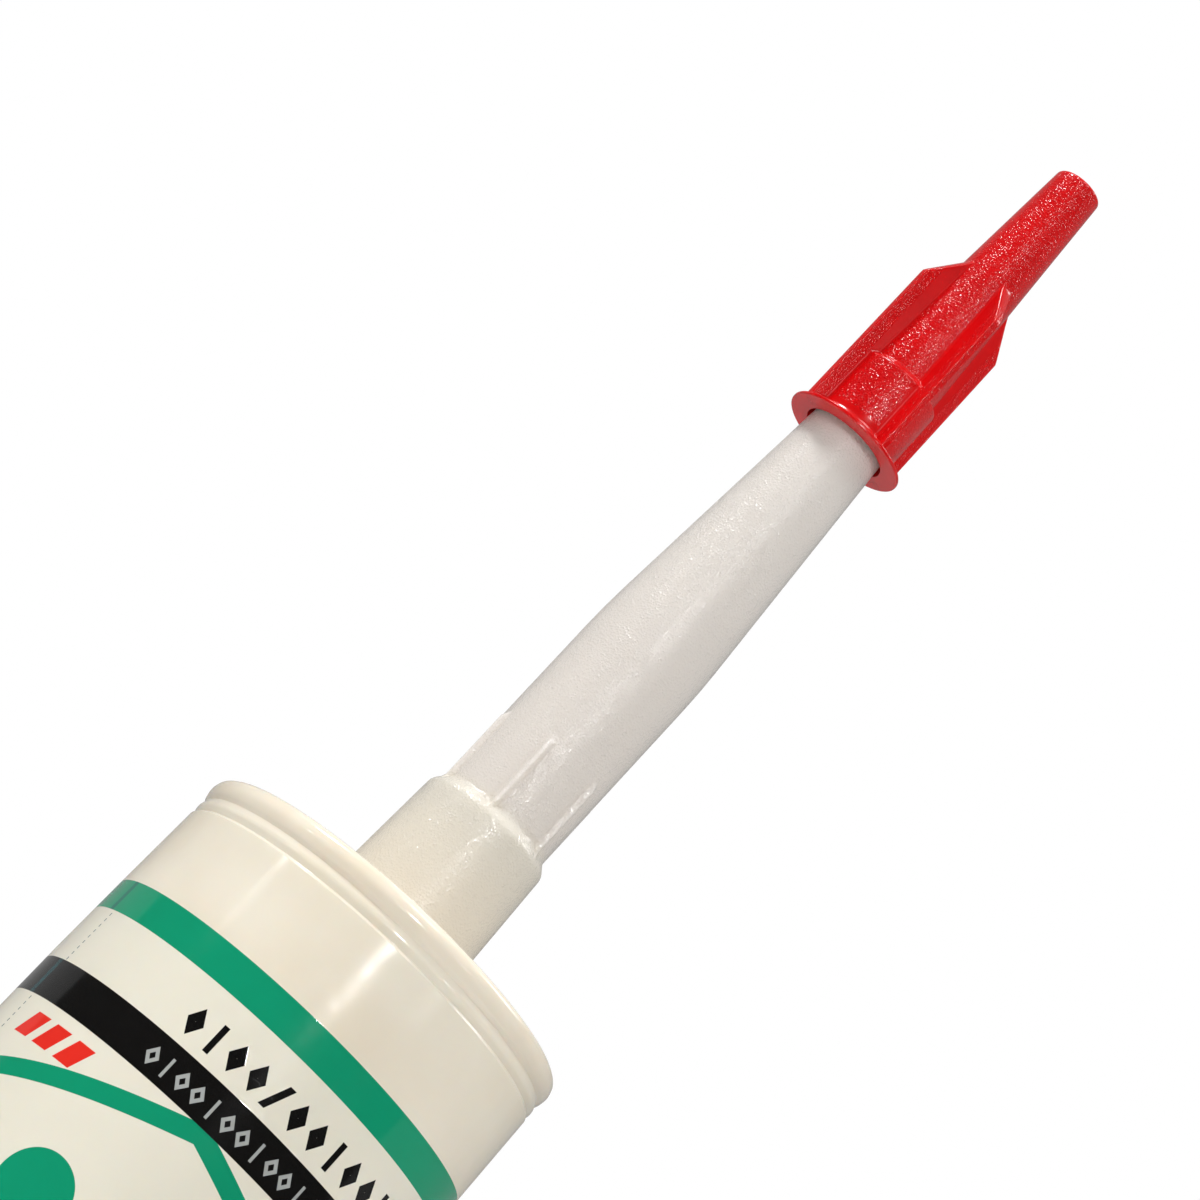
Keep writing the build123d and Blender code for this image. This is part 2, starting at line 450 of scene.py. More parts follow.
def make_band() -> bpy.types.NodeTree:
    """Builds the group that is 1 between two limits, with soft edges."""
    graph, given, out = shared_group(
        "band", {"Value": 0.0, "Low": 0.0, "High": 1.0, "Edge": 0.06}, ("Mask",)
    )
    half = graph.math("MULTIPLY", given["Edge"], 0.5)
    rise = graph.ramp(
        given["Value"],
        graph.math("SUBTRACT", given["Low"], half),
        graph.math("ADD", given["Low"], half),
    )
    fall = graph.ramp(
        given["Value"],
        graph.math("SUBTRACT", given["High"], half),
        graph.math("ADD", given["High"], half),
        1.0,
        0.0,
    )
    graph.feed(out.inputs["Mask"], graph.math("MULTIPLY", rise, fall))
    return graph.tree


def make_spark() -> bpy.types.NodeTree:
    """Builds the fine pitted grain of a spark-eroded mould."""
    graph, given, out = shared_group("spark_grain", {"Pit": 0.2}, ("Height", "Dullness"))
    scale = graph.math("DIVIDE", 1 / MM, given["Pit"])
    cells = graph.add("ShaderNodeTexVoronoi", {"Vector": object_point(graph, scale), "Scale": 1.0})
    bowl = graph.math("MULTIPLY", cells.outputs["Distance"], cells.outputs["Distance"])
    pick = graph.add("ShaderNodeSeparateColor", {0: cells.outputs["Color"]})
    depth = graph.math("MULTIPLY_ADD", pick.outputs[0], 1.3, 0.35)
    graph.feed(out.inputs["Height"], graph.math("MULTIPLY", bowl, depth))
    graph.feed(out.inputs["Dullness"], pick.outputs[1])
    return graph.tree


def make_peel() -> bpy.types.NodeTree:
    """Builds the faint waviness of moulded plastic."""
    graph, given, out = shared_group("mould_peel", {"Wave": 3.0}, ("Height",))
    scale = graph.math("DIVIDE", 1 / MM, given["Wave"])
    wave = graph.add(
        "ShaderNodeTexNoise",
        {"Vector": object_point(graph, scale), "Scale": 1.0, "Detail": 2.0, "Roughness": 0.4},
    )
    graph.feed(out.inputs["Height"], wave.outputs["Fac"])
    return graph.tree


def make_specks() -> bpy.types.NodeTree:
    """Builds scattered small dots: dust, and grains in the plastic."""
    graph, given, out = shared_group("specks", {"Spacing": 6.0, "Share": 0.2, "Size": 0.12}, ("Mask",))
    scale = graph.math("DIVIDE", 1 / MM, given["Spacing"])
    cells = graph.add("ShaderNodeTexVoronoi", {"Vector": object_point(graph, scale), "Scale": 1.0})
    pick = graph.add("ShaderNodeSeparateColor", {0: cells.outputs["Color"]})
    chosen = graph.math("LESS_THAN", pick.outputs[0], given["Share"])
    size = graph.math("MULTIPLY", given["Size"], graph.math("ADD", pick.outputs[1], 0.3))
    away = graph.math("MULTIPLY", cells.outputs["Distance"], given["Spacing"])
    dot = graph.ramp(away, graph.math("MULTIPLY", size, 0.6), size, 1.0, 0.0)
    graph.feed(out.inputs["Mask"], graph.math("MULTIPLY", dot, chosen))
    return graph.tree


def make_scuffs() -> bpy.types.NodeTree:
    """Builds fine scratches that wander across the surface."""
    graph, given, out = shared_group("scuffs", {"Spacing": 9.0, "Width": 0.02}, ("Mask",))
    scale = graph.math("DIVIDE", 1 / MM, given["Spacing"])
    point = object_point(graph, scale)
    lines = graph.add(
        "ShaderNodeTexNoise",
        {"Vector": point, "Scale": 1.0, "Detail": 3.0, "Roughness": 0.55, "Distortion": 1.2},
    )
    off = graph.apart(lines.outputs["Fac"], 0.5)
    line = graph.ramp(off, 0.0, given["Width"], 1.0, 0.0)
    patch = graph.add("ShaderNodeTexNoise", {"Vector": point, "Scale": 2.3, "Detail": 1.0})
    here = graph.ramp(patch.outputs["Fac"], 0.56, 0.66)
    graph.feed(out.inputs["Mask"], graph.math("MULTIPLY", line, here))
    return graph.tree


def make_cloud() -> bpy.types.NodeTree:
    """Builds soft wide unevenness between 0 and 1."""
    graph, given, out = shared_group("cloud", {"Size": 12.0}, ("Amount",))
    scale = graph.math("DIVIDE", 1 / MM, given["Size"])
    noise = graph.add(
        "ShaderNodeTexNoise", {"Vector": object_point(graph, scale), "Scale": 1.0, "Detail": 3.0}
    )
    graph.feed(out.inputs["Amount"], graph.ramp(noise.outputs["Fac"], 0.3, 0.7))
    return graph.tree


def make_effects() -> Effects:
    """Builds every shared effect once."""
    return Effects(
        place=make_place(),
        band=make_band(),
        spark=make_spark(),
        peel=make_peel(),
        specks=make_specks(),
        scuffs=make_scuffs(),
        cloud=make_cloud(),
    )


def srgb(red: int, green: int, blue: int) -> tuple[float, float, float, float]:
    """A display colour as linear red, green, blue and alpha."""
    def linear(value: int) -> float:
        """One channel as a linear value."""
        share = value / 255
        return share / 12.92 if share <= 0.04045 else ((share + 0.055) / 1.055) ** 2.4

    return linear(red), linear(green), linear(blue), 1.0


def plastic(name: str, **settings: Value) -> tuple[Graph, bpy.types.Node, bpy.types.Material]:
    """Starts a plastic material.

    Args:
        name: the material's name.
        settings: plain values of the shader's sockets, with underscores for spaces.

    Returns:
        Its graph, its Principled shader and the material.
    """
    material = bpy.data.materials.new(name)
    material.use_nodes = True
    graph = Graph(material.node_tree)
    shader = material.node_tree.nodes["Principled BSDF"]
    for label, value in settings.items():
        shader.inputs[label.replace("_", " ").title().replace("Ior", "IOR")].default_value = value
    return graph, shader, material


def relief(graph: Graph, shader: bpy.types.Node, height: Value, depth: float) -> None:
    """Gives a shader a relief.

    Args:
        graph: the material's graph.
        shader: its Principled shader.
        height: the relief, from 0 to 1.
        depth: depth of the relief.
    """
    bump = graph.add(
        "ShaderNodeBump", {"Height": height, "Distance": depth * MM, "Strength": 1.0}
    )
    graph.feed(shader.inputs["Normal"], bump.outputs[0])


# --- finishes -----------------------------------------------------------------------------------


@dataclass(frozen=True)
class PrintInk:
    """Colours of the print on the barrel."""

    green: tuple = srgb(14, 152, 112)
    black: tuple = srgb(15, 14, 13)
    grey: tuple = srgb(172, 175, 172)
    red: tuple = srgb(232, 48, 36)
    under: tuple = srgb(235, 230, 214)
    seam: tuple = srgb(20, 86, 92)


@dataclass(frozen=True)
class SignRow:
    """A row of plain signs: lozenge rings, with a bar as every third sign.

    Args:
        edges: low and high edge of the row.
        pitch: distance between two signs.
        stroke: width of their strokes.
        start: where the row starts along the barrel's round.
        count: number of signs.
    """

    edges: Point
    pitch: float
    stroke: float
    start: float
    count: int

    def paint(
        self, graph: Graph, along: Value, height: Value, band: Callable
    ) -> bpy.types.NodeSocket:
        """Draws the row.

        Args:
            graph: the material's graph.
            along: place along the round.
            height: height of the point.
            band: makes a mask from a value and its limits.

        Returns:
            The signs' mask.
        """
        low, high = self.edges
        reach, width = (high - low) / 2, (self.pitch - self.stroke) / 2
        begin = graph.math("SUBTRACT", along, self.start)
        cell = graph.math("MODULO", graph.math("ADD", begin, FAR * self.pitch), self.pitch)
        off = graph.apart(cell, self.pitch / 2)
        up = graph.apart(height, (low + high) / 2)
        slant = graph.math("ADD", graph.math("DIVIDE", off, width), graph.math("DIVIDE", up, reach))
        lozenge = band(slant, (1 - 1.5 * self.stroke / width, 1.0), 0.05)
        bar = graph.product(band(off, (-1.0, self.stroke / 2)), band(up, (-1.0, reach)))
        number = graph.math("FLOOR", graph.math("DIVIDE", begin, self.pitch))
        third = graph.math("MODULO", graph.math("ADD", number, 3.0 * FAR), 3.0)
        is_bar = graph.math("LESS_THAN", graph.apart(third, 1.0), 0.5)
        sign = graph.math(
            "ADD",
            graph.product(bar, is_bar),
            graph.product(lozenge, graph.math("SUBTRACT", 1.0, is_bar)),
        )
        return graph.product(sign, band(begin, (0.0, self.count * self.pitch)))


@dataclass(frozen=True)
class BarrelPrint:
    """The generic print round the barrel: rings, a zigzag stripe, dots and rows of plain signs.

    Heights are taken at the front; the print runs very slightly skew round the barrel.

    Args:
        skew: rise of the print towards -X, per unit of width.
        green_ring: low and high edge of the green ring.
        black_ring: low and high edge of the black ring.
        base_ring: low and high edge of the green ring near the rear.
        black_signs: the row of black signs, with room for the slanted bar.
        slash: start and end of the slanted bar at its foot.
        slash_cell: number of the sign whose place the slanted bar takes.
        slash_lean: lean of the slanted bar.
        grey_signs: the row of grey signs on the black ring.
        stripe_peak: height of the zigzag's upper corners.
        stripe_width: upright width of the zigzag stripe.
        stripe_slope: rise of the stripe per unit along the round.
        stripe_count: number of corners round the barrel.
        dot_height: height of the dots' centres.
        dot_radius: radius of the dots.
        dot_shift: place of the first dot.
        flash_place: start and end of the red slanted bars together.
        flash_row: low and high edge of the red bars.
        flash_pitch: distance between two red bars.
        flash_bar: start and end of a red bar within its pitch.
        flash_lean: lean of the red bars.
        seam: strip where the print laps over itself.
        seam_share: how much the seam tints the ink under it.
        seam_line: start and end of the dashed line beside it.
        seam_dash: pitch of the dashed line.
        ink_depth: how far under the barrel's radius ink can lie.
    """

    radius: float
    skew: float = 0.0154
    green_ring: Point = (196.0, 200.0)
    black_ring: Point = (184.0, 188.7)
    base_ring: Point = (22.0, 26.0)
    black_signs: SignRow = SignRow((189.8, 193.3), pitch=2.9, stroke=0.72, start=-9.9, count=11)
    slash: Point = (1.85, 2.7)
    slash_cell: int = 4
    slash_lean: float = -0.42
    grey_signs: SignRow = SignRow((184.95, 187.3), pitch=2.1, stroke=0.34, start=-10.4, count=18)
    stripe_peak: float = 184.6
    stripe_width: float = 2.3
    stripe_slope: float = 0.33
    stripe_count: int = 3
    dot_height: float = 168.2
    dot_radius: float = 4.4
    dot_shift: float = -9.0
    flash_place: Point = (-26.2, -14.6)
    flash_row: Point = (179.6, 182.6)
    flash_pitch: float = 3.9
    flash_bar: Point = (0.2, 2.8)
    flash_lean: float = -0.45
    seam: Point = (-30.2, -29.3)
    seam_share: float = 0.55
    seam_line: Point = (-28.8, -28.64)
    seam_dash: float = 0.8
    ink_depth: float = 1.2

    def paint(
        self, graph: Graph, effects: Effects, plain: Value, ink: PrintInk
    ) -> tuple[bpy.types.NodeSocket, bpy.types.NodeSocket]:
        """Prints over a plain colour.

        Args:
            graph: the material's graph.
            effects: the shared effects.
            plain: colour of the bare barrel.
            ink: the ink colours.

        Returns:
            The printed colour, and where there is ink.
        """
        place = graph.use(effects.place)
        along = graph.math("MULTIPLY", place.outputs["Angle"], math.radians(1) * self.radius)
        height = graph.math(
            "MULTIPLY_ADD", place.outputs["Across"], self.skew, place.outputs["Height"]
        )
        outside = graph.math("GREATER_THAN", place.outputs["Radius"], self.radius - self.ink_depth)
        band = partial(effects.within, graph)
        green = graph.largest(
            band(height, self.green_ring),
            band(height, self.base_ring),
            self.stripe(graph, along, height, band),
            self.dots(graph, along, height, band),
        )
        black = graph.largest(
            band(height, self.black_ring), *self.black_words(graph, along, height, band)
        )
        grey = self.grey_signs.paint(graph, along, height, band)
        red = self.flashes(graph, along, height, band)
        under = band(height, (self.base_ring[0], self.green_ring[0]), 0.2)
        dash_place = graph.math("MODULO", height, self.seam_dash)
        dash = graph.math("LESS_THAN", dash_place, self.seam_dash / 2)
        dashes = graph.product(band(along, self.seam_line), dash, under)
        colour = graph.mix(graph.product(under, outside), plain, ink.under)
        colour = graph.mix(graph.product(dashes, outside), colour, ink.seam)
        for mask, tint in ((green, ink.green), (black, ink.black), (grey, ink.grey), (red, ink.red)):
            colour = graph.mix(graph.product(mask, outside), colour, tint)
        printed = graph.product(graph.largest(green, black, red), outside)
        seam = graph.product(band(along, self.seam), printed, self.seam_share)
        return graph.mix(seam, colour, ink.seam), printed

    def black_words(
        self, graph: Graph, along: Value, height: Value, band: Callable
    ) -> tuple[bpy.types.NodeSocket, bpy.types.NodeSocket]:
        """The row of black signs and the slanted bar among them.

        Args:
            graph: the material's graph.
            along: place along the round.
            height: height of the point.
            band: makes a mask from a value and its limits.

        Returns:
            The masks of the signs and of the bar.
        """
        row = self.black_signs
        rise = graph.math("SUBTRACT", height, row.edges[0])
        lean = graph.math("MULTIPLY_ADD", rise, self.slash_lean, along)
        bar = graph.product(band(lean, self.slash), band(height, row.edges))
        gap = row.start + self.slash_cell * row.pitch
        beside = graph.math("SUBTRACT", 1.0, band(along, (gap, gap + row.pitch)))
        return graph.product(row.paint(graph, along, height, band), beside), bar

    def flashes(
        self, graph: Graph, along: Value, height: Value, band: Callable
    ) -> bpy.types.NodeSocket:
        """The red slanted bars.

        Args:
            graph: the material's graph.
            along: place along the round.
            height: height of the point.
            band: makes a mask from a value and its limits.

        Returns:
            The bars' mask.
        """
        rise = graph.math("SUBTRACT", height, self.flash_row[0])
        lean = graph.math("MULTIPLY_ADD", rise, self.flash_lean, along)
        start = graph.math("SUBTRACT", lean, self.flash_place[0] - FAR * self.flash_pitch)
        beat = graph.math("MODULO", start, self.flash_pitch)
        return graph.product(
            band(beat, self.flash_bar), band(height, self.flash_row), band(lean, self.flash_place)
        )

    def stripe(
        self, graph: Graph, along: Value, height: Value, band: Callable
    ) -> bpy.types.NodeSocket:
        """The zigzag stripe under the black ring.

        Args:
            graph: the material's graph.
            along: place along the round.
            height: height of the point.
            band: makes a mask from a value and its limits.

        Returns:
            The stripe's mask.
        """
        period = 2 * math.pi * self.radius / self.stripe_count
        turn = graph.math("PINGPONG", graph.math("ADD", along, FAR * period), period / 2)
        centre = graph.math("MULTIPLY_ADD", turn, -self.stripe_slope, self.stripe_peak)
        off = graph.math("SUBTRACT", height, centre)
        under = band(height, (0.0, self.black_ring[0] + 0.1))
        return graph.product(band(off, (-self.stripe_width, 0.0)), under)

    def dots(
        self, graph: Graph, along: Value, height: Value, band: Callable
    ) -> bpy.types.NodeSocket:
        """The row of dots under the zigzag.

        Args:
            graph: the material's graph.
            along: place along the round.
            height: height of the point.
            band: makes a mask from a value and its limits.

        Returns:
            The dots' mask.
        """
        period = 2 * math.pi * self.radius / (3 * self.stripe_count)
        start = graph.math("SUBTRACT", along, self.dot_shift - FAR * period)
        beat = graph.math("MODULO", graph.math("ADD", start, period / 2), period)
        off = graph.math("SUBTRACT", beat, period / 2)
        up = graph.math("SUBTRACT", height, self.dot_height)
        return band(graph.length(off, up), (-1.0, self.dot_radius))


@dataclass(frozen=True)
class BarrelPlastic:
    """Creamy semi-gloss polyethylene with print, faint scuffs and a few specks."""

    bare: tuple = srgb(240, 231, 214)
    shade: tuple = srgb(235, 224, 204)
    speck: tuple = srgb(120, 96, 70)
    roughness: float = 0.13
    scuff_roughness: float = 0.1
    ink_roughness: float = -0.03
    wave_depth: float = 0.05

    def build(self, effects: Effects, label: BarrelPrint) -> bpy.types.Material:
        """Builds the material.

        Args:
            effects: the shared effects.
            label: the print.

        Returns:
            The material.
        """
        graph, shader, material = plastic(
            "barrel_plastic",
            subsurface_weight=0.35,
            subsurface_radius=(1.0, 0.75, 0.5),
            subsurface_scale=1.6 * MM,
            ior=1.5,
        )
        cloud = graph.use(effects.cloud, {"Size": 14.0}).outputs["Amount"]
        plain = graph.mix(cloud, self.bare, self.shade)
        specks = graph.use(effects.specks, {"Spacing": 5.0, "Share": 0.07, "Size": 0.16})
        colour, ink = label.paint(graph, effects, plain, PrintInk())
        dusted = graph.mix(graph.math("MULTIPLY", specks.outputs[0], 0.6), colour, self.speck)
        graph.feed(shader.inputs["Base Color"], dusted)
        scuffs = graph.use(effects.scuffs, {"Spacing": 8.0, "Width": 0.012}).outputs["Mask"]
        rough = graph.math("MULTIPLY_ADD", scuffs, self.scuff_roughness, self.roughness)
        rough = graph.math("MULTIPLY_ADD", ink, self.ink_roughness, rough)
        graph.feed(shader.inputs["Roughness"], rough)
        wave = graph.use(effects.peel, {"Wave": 5.0}).outputs["Height"]
        relief(graph, shader, graph.math("MULTIPLY_ADD", ink, 0.1, wave), self.wave_depth)
        return material


@dataclass(frozen=True)
class NozzlePlastic:
    """Natural translucent polyethylene with the sparkling grain of a spark-eroded mould; its skirt
    carries a painted see-through tint, yellower where the creamy nipple inside would show through the
    wall.
    """

    # painted light: the skirt colour is yellower than the cone colour, standing in for the creamy
    # nipple seen through the translucent wall
    skirt: tuple = srgb(236, 225, 209)
    cone: tuple = srgb(236, 225, 216)
    speck: tuple = srgb(60, 52, 46)
    roughness: float = 0.07
    roughness_spread: float = 0.2
    pit: float = 0.26
    pit_depth: float = 0.055

    def build(self, effects: Effects, step: float) -> bpy.types.Material:
        """Builds the material.

        Args:
            effects: the shared effects.
            step: height of the step between skirt and throat.

        Returns:
            The material.
        """
        graph, shader, material = plastic(
            "nozzle_plastic",
            subsurface_weight=0.9,
            subsurface_radius=(1.0, 0.98, 0.95),
            subsurface_scale=2.8 * MM,
            ior=1.5,
        )
        place = graph.use(effects.place)
        # painted light: blends the yellower see-through skirt tint into the cone tint across the step
        up = graph.ramp(place.outputs["Height"], step - 1.0, step + 1.5)
        plain = graph.mix(up, self.skirt, self.cone)
        specks = graph.use(effects.specks, {"Spacing": 4.0, "Share": 0.05, "Size": 0.1})
        graph.feed(
            shader.inputs["Base Color"],
            graph.mix(graph.math("MULTIPLY", specks.outputs[0], 0.8), plain, self.speck),
        )
        grain = graph.use(effects.spark, {"Pit": self.pit})
        dull = grain.outputs["Dullness"]
        rough = graph.math("MULTIPLY_ADD", dull, self.roughness_spread, self.roughness)
        graph.feed(shader.inputs["Roughness"], rough)
        relief(graph, shader, grain.outputs["Height"], self.pit_depth)
        return material


@dataclass(frozen=True)
class CapPlastic:
    """Red polyethylene: smooth edges and fillets, grained fields between them."""

    red: tuple = srgb(214, 6, 10)
    deep: tuple = srgb(204, 4, 8)
    roughness: float = 0.19
    grain_roughness: float = -0.12
    roughness_spread: float = 0.18
    pit: float = 0.24
    pit_depth: float = 0.045

    def build(self, effects: Effects, cap: "Cap") -> bpy.types.Material:
        """Builds the material.

        Args:
            effects: the shared effects.
            cap: the cap that it dresses.

        Returns:
            The material.
        """
        graph, shader, material = plastic(
            "cap_plastic",
            subsurface_weight=0.15,
            subsurface_radius=(1.0, 0.06, 0.05),
            subsurface_scale=1.2 * MM,
            ior=1.5,
        )
        grained = cap.grained(graph, effects)
        cloud = graph.use(effects.cloud, {"Size": 7.0}).outputs["Amount"]
        graph.feed(shader.inputs["Base Color"], graph.mix(cloud, self.red, self.deep))
        grain = graph.use(effects.spark, {"Pit": self.pit})
        dull = graph.math(
            "MULTIPLY_ADD", grain.outputs["Dullness"], self.roughness_spread, self.grain_roughness
        )
        rough = graph.math("MULTIPLY_ADD", dull, grained, self.roughness)
        graph.feed(shader.inputs["Roughness"], rough)
        relief(graph, shader, graph.product(grain.outputs["Height"], grained), self.pit_depth)
        return material


@dataclass(frozen=True)
class PlungerPlastic:
    """Natural white polyethylene with faint moulding waves."""

    bare: tuple = srgb(226, 226, 222)
    shade: tuple = srgb(214, 214, 208)

    def build(self, effects: Effects) -> bpy.types.Material:
        """Builds the material."""
        graph, shader, material = plastic(
            "plunger_plastic",
            subsurface_weight=0.3,
            subsurface_radius=(1.0, 0.9, 0.8),
            subsurface_scale=1.5 * MM,
        )
        cloud = graph.use(effects.cloud, {"Size": 9.0}).outputs["Amount"]
        graph.feed(shader.inputs["Base Color"], graph.mix(cloud, self.bare, self.shade))
        graph.feed(shader.inputs["Roughness"], graph.math("MULTIPLY_ADD", cloud, 0.12, 0.38))
        relief(graph, shader, graph.use(effects.peel, {"Wave": 1.6}).outputs["Height"], 0.03)
        return material


@dataclass(frozen=True)
class SealantPaste:
    """Smooth white paste with slight folds."""

    bare: tuple = srgb(236, 235, 230)
    shade: tuple = srgb(224, 223, 216)

    def build(self, effects: Effects) -> bpy.types.Material:
        """Builds the material."""
        graph, shader, material = plastic(
            "sealant_paste",
            subsurface_weight=0.2,
            subsurface_radius=(1.0, 0.95, 0.9),
            subsurface_scale=1.0 * MM,
        )
        cloud = graph.use(effects.cloud, {"Size": 6.0}).outputs["Amount"]
        graph.feed(shader.inputs["Base Color"], graph.mix(cloud, self.bare, self.shade))
        graph.feed(shader.inputs["Roughness"], graph.math("MULTIPLY_ADD", cloud, -0.15, 0.4))
        relief(graph, shader, graph.use(effects.peel, {"Wave": 2.5}).outputs["Height"], 0.12)
        return material


# --- pieces -------------------------------------------------------------------------------------


@dataclass(frozen=True)
class Levels:
    """Heights that the pieces share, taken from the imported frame.

    Args:
        seat: where nozzle and barrel meet.
        nipple_top: top of the barrel's threaded nipple.
        nozzle_tip: open end of the nozzle.
        cap_foot: underside of the cap's flange.
        cap_top: closed end of the cap.
        fill_foot: underside of the sealant.
        fill_top: top of the sealant.
    """

    seat: float
    nipple_top: float
    nozzle_tip: float
    cap_foot: float
    cap_top: float
    fill_foot: float
    fill_top: float

    @classmethod
    def read(cls) -> "Levels":
        """Reads the levels from the boxes of the nodes."""
        low = {name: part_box(name)[0].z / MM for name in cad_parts}
        high = {name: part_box(name)[1].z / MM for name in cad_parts}
        return cls(
            seat=low["nozzle"],
            nipple_top=high["barrel"],
            nozzle_tip=high["nozzle"],
            cap_foot=low["nozzle_cap"],
            cap_top=high["nozzle_cap"],
            fill_foot=low["sealant"],
            fill_top=high["sealant"],
        )


@dataclass(frozen=True)
class Barrel:
    """The barrel: wall, beaded head rim, shoulder and closed threaded nipple."""

    levels: Levels
    radius: float = 25.0
    bore: float = 23.3
    lead_in: float = 23.7
    lead_in_depth: float = 12.0
    neck: float = 24.42
    groove: float = 24.17
    bead: float = 24.36
    rim_bulge: float = 24.62
    rim_land: Point = (22.22, 23.9)
    rim_depth: float = 1.0
    taper_depth: float = 25.5
    taper_blend: float = 1440.0
    groove_foot: float = 5.1
    groove_top: float = 3.05
    bead_height: float = 4.1
    head_wall: float = 2.2
    shoulder_rise: float = 2.0
    seat_radius: float = 9.4
    nipple: float = 6.3
    nipple_bore: float = 4.4
    membrane: float = 1.2
    columns: int = 288

    def corners(self) -> list[Corner]:
        """The outline from the rear rim over the head and back inside."""
        seat, top = self.levels.seat, self.levels.nipple_top
        rim = seat - self.shoulder_rise + self.rim_depth
        shoulder = rim - self.rim_depth
        under = shoulder - self.head_wall
        return [
            Corner(self.lead_in, 0, 0.25),
            Corner(self.radius, 0, 0.4),
            Corner(self.radius, rim - self.taper_depth, self.taper_blend, 3.0),
            Corner(self.neck, rim - self.groove_foot, 0.12, 2.0),
            Corner(self.groove, rim - self.groove_foot + 0.3, 0.12),
            Corner(self.bead, rim - self.bead_height, 0.9),
            Corner(self.bead - 0.02, rim - self.bead_height + 0.4, 0.9),
            Corner(self.groove - 0.05, rim - self.groove_top, 0.1),
            Corner(self.rim_bulge - 0.2, rim - 2.5, 1.0),
            Corner(self.rim_bulge, rim - 1.5, 1.6),
            Corner(self.rim_bulge - 0.3, rim - 0.5, 0.9),
            Corner(self.rim_land[1] - 0.3, rim, 0.9),
            Corner(self.rim_land[0], rim, 0.3),
            Corner(self.rim_land[0] - 0.5, shoulder, 0.4),
            Corner(self.seat_radius, seat, 0.6),
            Corner(self.nipple, seat, 0.3),
            Corner(self.nipple, top - 0.6, 0.3, THREAD_ROW),
            Corner(self.nipple - 0.6, top, 0.3),
            Corner(0, top),
            Corner(0, top - self.membrane),
            Corner(self.nipple_bore, top - self.membrane, 0.4),
            Corner(self.nipple_bore, under, 0.6),
            Corner(self.bore, under, 1.5),
            Corner(self.bore, self.lead_in_depth + 1, 0.3, 8.0),
            Corner(self.lead_in, self.lead_in_depth, 0.3),
        ]

    def build(self) -> bpy.types.Object:
        """Builds the barrel with the thread on its nipple."""
        thread = Thread(
            foot=self.levels.seat + 1.6, turns=4.0, pitch=2.6, width=1.5, tip=0.6, depth=0.75
        )
        first, last = self.levels.seat + 0.5, self.levels.nipple_top - 0.7

        def shape(radius: float, height: float, angle: float) -> float:
            """Adds the thread to the nipple's outside."""
            if abs(radius - self.nipple) < 0.01 and first < height < last:
                return radius + thread.lift(height, angle)
            return radius

        angles = even_angles(self.columns)
        rings = [turned_ring(r, z, angles, shape) for r, z in outline(self.corners())]
        return skin("barrel_shell", rings)

    def dress(self, piece: bpy.types.Object, effects: Effects) -> None:
        """Gives the barrel its printed plastic and its place in the frame."""
        label = BarrelPrint(radius=self.radius)
        piece.data.materials.append(BarrelPlastic().build(effects, label))
        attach(piece, "barrel")
        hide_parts("barrel")


